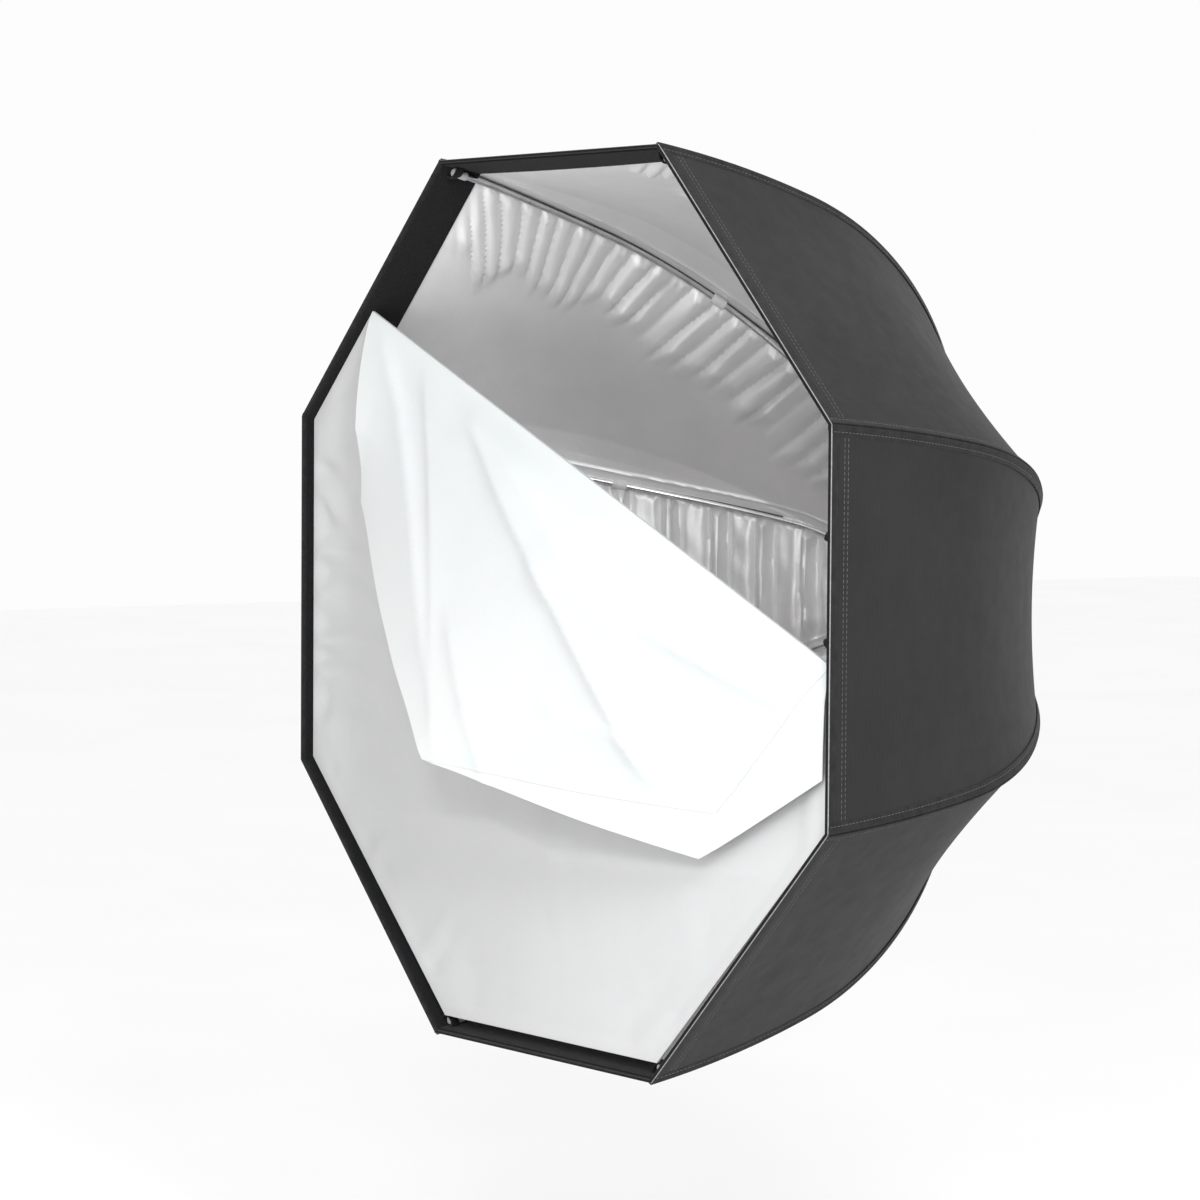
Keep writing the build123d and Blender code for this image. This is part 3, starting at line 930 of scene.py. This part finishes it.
def on_flap(a, down, forward):
    """Points of the folded flap's surface, that far in front of it."""
    span = (a - FOLD_ENDS[0][0]) / (FOLD_ENDS[1][0] - FOLD_ENDS[0][0])
    away = down / -FLAP_LOW[1]
    over = np.exp(-((span - 0.47) / 0.23) ** 2)
    # The lowest corner hangs free, and the cloth rises to it from both sides
    left = a < FLAP_LOW[0]
    off = (a - FLAP_LOW[0]) / np.where(left, FLAP_LOW[0] - FLAP_LEFT[0], FLAP_RIGHT[0] - FLAP_LOW[0])
    lift = np.clip(1 - (np.sqrt(off ** 2 + 0.0016) - 0.04), 0, 1) ** np.where(left, 1.0, 1.35)
    edge = np.where(left, -FLAP_LEFT[1], -FLAP_RIGHT[1])
    edge = edge + (-FLAP_LOW[1] - edge) * np.clip(1 - np.abs(off), 0, 1)
    free = 0.074 * lift * np.clip(down / edge, 0, 1.3) ** 1.5
    tent = np.clip(np.minimum(down / 0.095, (0.170 - down) / 0.075), 0, 1)
    bulge = 0.018 * tent * np.exp(-(span / 0.09) ** 2)
    soft = 0.0040 * wave_noise(a * 5, down * 6, 31) + 0.0012 * wave_noise(a * 16, down * 16, 33)
    creases = sum(bend(a, down, *crease) for crease in FLAP_CREASES)
    right = 1 - 0.6 * smooth(span, 0.82, 1.0)
    lie = 0.0022 * (1 - np.exp(-down / 0.004))
    lie += 0.008 * smooth(span, 0.04, 0.30) * smooth(down, 0, 0.03)
    hold = smooth(down, 0.0, 0.05) * smooth(span, 0.0, 0.12)
    waves = np.maximum(soft, -0.003) * hold + creases * smooth(down, 0.0, 0.02)
    reach = down * (1 - 0.056 * over * away)
    return on_sheet(a, reach, forward + free + bulge + (lie + waves) * right)


def flap():
    outline = [FOLD_ENDS[0], FLAP_LEFT, FLAP_LOW, FLAP_RIGHT, FOLD_ENDS[1]]
    points, faces = cut_grid(outline, CLOTH_GRID)
    a, down = points[:, 0], -points[:, 1]
    front = on_flap(a, down, 0.0012)
    back = on_flap(a, down, 0.0006)
    obj = cloth_slab("diffuser_flap_cloth", front, back, faces, [FLAP_CLOTH])
    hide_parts("diffuser_flap")
    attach(obj, "diffuser_flap")
    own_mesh(obj)
    return obj


def flap_hem():
    """The hem that hangs past the folded flap's own corner."""
    end = (FOLD_ENDS[1][0] - 0.0015, -0.001)
    outline = [FLAP_LOW, (0.269, -0.205), (0.3735, -0.0802), end]
    points, faces = cut_grid(outline, CLOTH_GRID)
    a, down = points[:, 0], -points[:, 1]
    front = on_flap(a, down, 0.0005)
    back = on_flap(a, down, -0.0001)
    obj = cloth_slab("diffuser_flap_hem", front, back, faces, [FLAP_CLOTH])
    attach(obj, "diffuser_flap")
    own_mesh(obj)
    return obj


lower_sheet()
flap()
flap_hem()


# ---------------------------------------------------------------------------
# CAD nodes that keep their shape
# ---------------------------------------------------------------------------
CAD_MATERIALS = {
    "rod_socket": BLACK_PLASTIC,
    "rod_tip": TIP_PLASTIC,
    "rod_clip": WHITE_PLASTIC,
    "rod": STEEL,
    "ring_housing": ANODISED,
    "ring_plate": BLACK_PLASTIC,
    "ring_screws": FASTENER,
    "hinge_pins": FASTENER,
    "bayonet_insert": INSERT_STEEL,
    "lock_knob": KNOB_PLASTIC,
}
for name, obj in frame["nodes"].items():
    kind = name.rstrip("0123456789").rstrip("_")
    if kind in CAD_MATERIALS:
        obj.data.materials.clear()
        obj.data.materials.append(CAD_MATERIALS[kind])

# ---------------------------------------------------------------------------
# Floor, light and camera
# ---------------------------------------------------------------------------
def floor():
    m = Nodes("pale_floor", (0.96, 0.96, 0.96), 0.9)
    m.colours(m.noise(2, 2), (0.95, 0.95, 0.95), (0.97, 0.97, 0.97))
    half = 12.0
    level = cad_box[0][2] - 0.35
    points = [(x * half, y * half, level) for x, y in ((-1, -1), (1, -1), (1, 1), (-1, 1))]
    piece("floor", points, [(0, 1, 2, 3)], [m.material], shade_smooth=False)


def area_light(name, place, aim, size, power):
    data = bpy.data.lights.new(name, "AREA")
    data.shape = "DISK"
    data.size = size
    data.energy = power
    obj = bpy.data.objects.new(name, data)
    obj.location = place
    obj.rotation_euler = (Vector(aim) - Vector(place)).to_track_quat("-Z", "Y").to_euler()
    bpy.context.scene.collection.objects.link(obj)


def camera():
    """Seen from the front right and a little above."""
    azimuth, elevation, roll = (math.radians(v) for v in (53.84, 2.91, 0.39))
    distance, sensor, lens = 8.135 * RIM_R, 36.0, 121.95
    aim = Vector((0.2026 * RIM_R, RIM_Y, 0.024 * RIM_R))
    level = math.cos(elevation)
    back = Vector((math.sin(azimuth) * level, -math.cos(azimuth) * level, math.sin(elevation)))
    right = (-back).cross(Vector((0, 0, 1))).normalized()
    up = right.cross(-back)
    tilted_right = right * math.cos(roll) + up * math.sin(roll)
    tilted_up = up * math.cos(roll) - right * math.sin(roll)
    data = bpy.data.cameras.new("camera")
    data.lens, data.sensor_width, data.clip_end = lens, sensor, 100
    obj = bpy.data.objects.new("camera", data)
    turn = Matrix((tilted_right, tilted_up, back)).transposed().to_4x4()
    obj.matrix_world = Matrix.Translation(aim + back * distance) @ turn
    bpy.context.scene.collection.objects.link(obj)
    bpy.context.scene.camera = obj


def world(strength):
    w = bpy.data.worlds.new("studio")
    bpy.context.scene.world = w
    w.use_nodes = True
    w.node_tree.nodes["Background"].inputs["Color"].default_value = (1, 1, 1, 1)
    w.node_tree.nodes["Background"].inputs["Strength"].default_value = strength


bpy.context.scene.view_settings.view_transform = "Standard"
floor()
world(0.98)
area_light("key", (2.0, -1.25, 1.1), (0.1, -0.4, 0), 0.6, 26)
area_light("fill", (2.1, -2.3, 0.95), (0, -0.3, 0), 0.5, 24)
area_light("low", (0.9, -2.4, -0.40), (-0.1, -0.1, 0.25), 0.7, 6)
camera()
